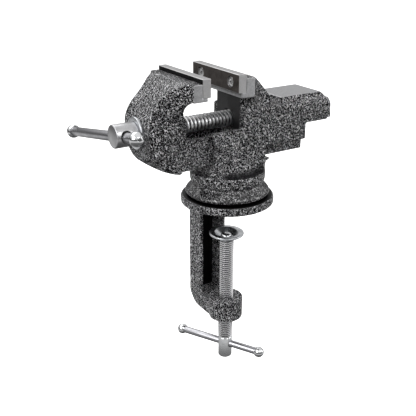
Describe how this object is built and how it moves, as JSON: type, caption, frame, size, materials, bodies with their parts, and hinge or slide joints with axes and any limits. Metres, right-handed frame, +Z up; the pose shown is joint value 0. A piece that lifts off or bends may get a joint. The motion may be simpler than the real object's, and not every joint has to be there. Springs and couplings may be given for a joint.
{
  "type": "bench vise",
  "caption": "Clamp-on swivel bench vise: screw-driven sliding jaw with steel jaw plates, small anvil, and a C-clamp below that grips a table edge.",
  "frame": {"origin": "centre of the clamp flange's flat underside, which rests on the table, on the swivel axis", "axes": "+X from the main handle towards the anvil, +Z up along the swivel axis, the clamp's throat opens towards -Y"},
  "size_m": [0.1753, 0.1272, 0.2418],
  "materials": {
    "hammertone_paint": "glossy black and silver hammer finish",
    "ground_steel": "ground, the gripping face darker and finely lined",
    "socket_screw_steel": "satin",
    "bright_screw_steel": "bright plated",
    "zinc_plate": "satin zinc",
    "turned_steel": "turned, lightly oiled",
    "chrome": "polished",
    "nut_iron": "machined"
  },
  "bodies": {
    "clamp": {"clamp_frame": "hammertone_paint"},
    "vise": {"vise_body": "hammertone_paint", "fixed_jaw_plate": "ground_steel", "fixed_jaw_plate_screws": "socket_screw_steel", "main_nut": "nut_iron", "main_nut_screws": "socket_screw_steel", "swivel_bolt": "zinc_plate", "swivel_washer": "zinc_plate", "swivel_spring_washer": "zinc_plate", "swivel_nut": "zinc_plate"},
    "jaw": {"movable_jaw": "hammertone_paint", "movable_jaw_plate": "ground_steel", "movable_jaw_plate_screws": "socket_screw_steel"},
    "main_spindle": {"main_screw": "bright_screw_steel", "main_screw_washer": "zinc_plate", "main_screw_retaining_ring": "turned_steel", "main_screw_retaining_pin": "turned_steel"},
    "main_handle": {"main_bar": "bright_screw_steel", "main_bar_knobs": "chrome"},
    "pad": {"clamp_pad": "zinc_plate"},
    "clamp_spindle": {"clamp_screw": "zinc_plate"},
    "clamp_handle": {"clamp_bar": "bright_screw_steel", "clamp_bar_knobs": "chrome"}
  },
  "joints": [
    {"name": "swivel", "type": "hinge", "parent": "clamp", "child": "vise", "pos_m": [0, 0, 0.0064], "axis": [0, 0, 1], "continuous": true},
    {"name": "jaw_slide", "type": "slide", "parent": "vise", "child": "jaw", "axis": [1, 0, 0], "range_m": [-0.0256, 0.0222]},
    {"name": "main_screw_spin", "type": "hinge", "parent": "jaw", "child": "main_spindle", "pos_m": [-0.0749, 0, 0.0642], "axis": [1, 0, 0], "range_deg": [-3079, 2670]},
    {"name": "main_bar_slide", "type": "slide", "parent": "main_spindle", "child": "main_handle", "axis": [0, 0.9816, -0.1908], "range_m": [-0.0765, 0.0105]},
    {"name": "clamp_pad_travel", "type": "slide", "parent": "clamp", "child": "pad", "axis": [0, 0, 1], "range_m": [-0.05, 0.02]},
    {"name": "clamp_screw_spin", "type": "hinge", "parent": "pad", "child": "clamp_spindle", "pos_m": [0, 0, -0.0322], "axis": [0, 0, 1], "range_deg": [-10292, 4121]},
    {"name": "clamp_bar_slide", "type": "slide", "parent": "clamp_spindle", "child": "clamp_handle", "axis": [-0.4741, 0.8805, 0], "range_m": [-0.0324, 0.0222]}
  ],
  "couplings": [
    {"joint": "main_screw_spin", "follows": "jaw_slide", "rad_per_m": 2094.4},
    {"joint": "clamp_screw_spin", "follows": "clamp_pad_travel", "rad_per_m": 3590.4}
  ]
}
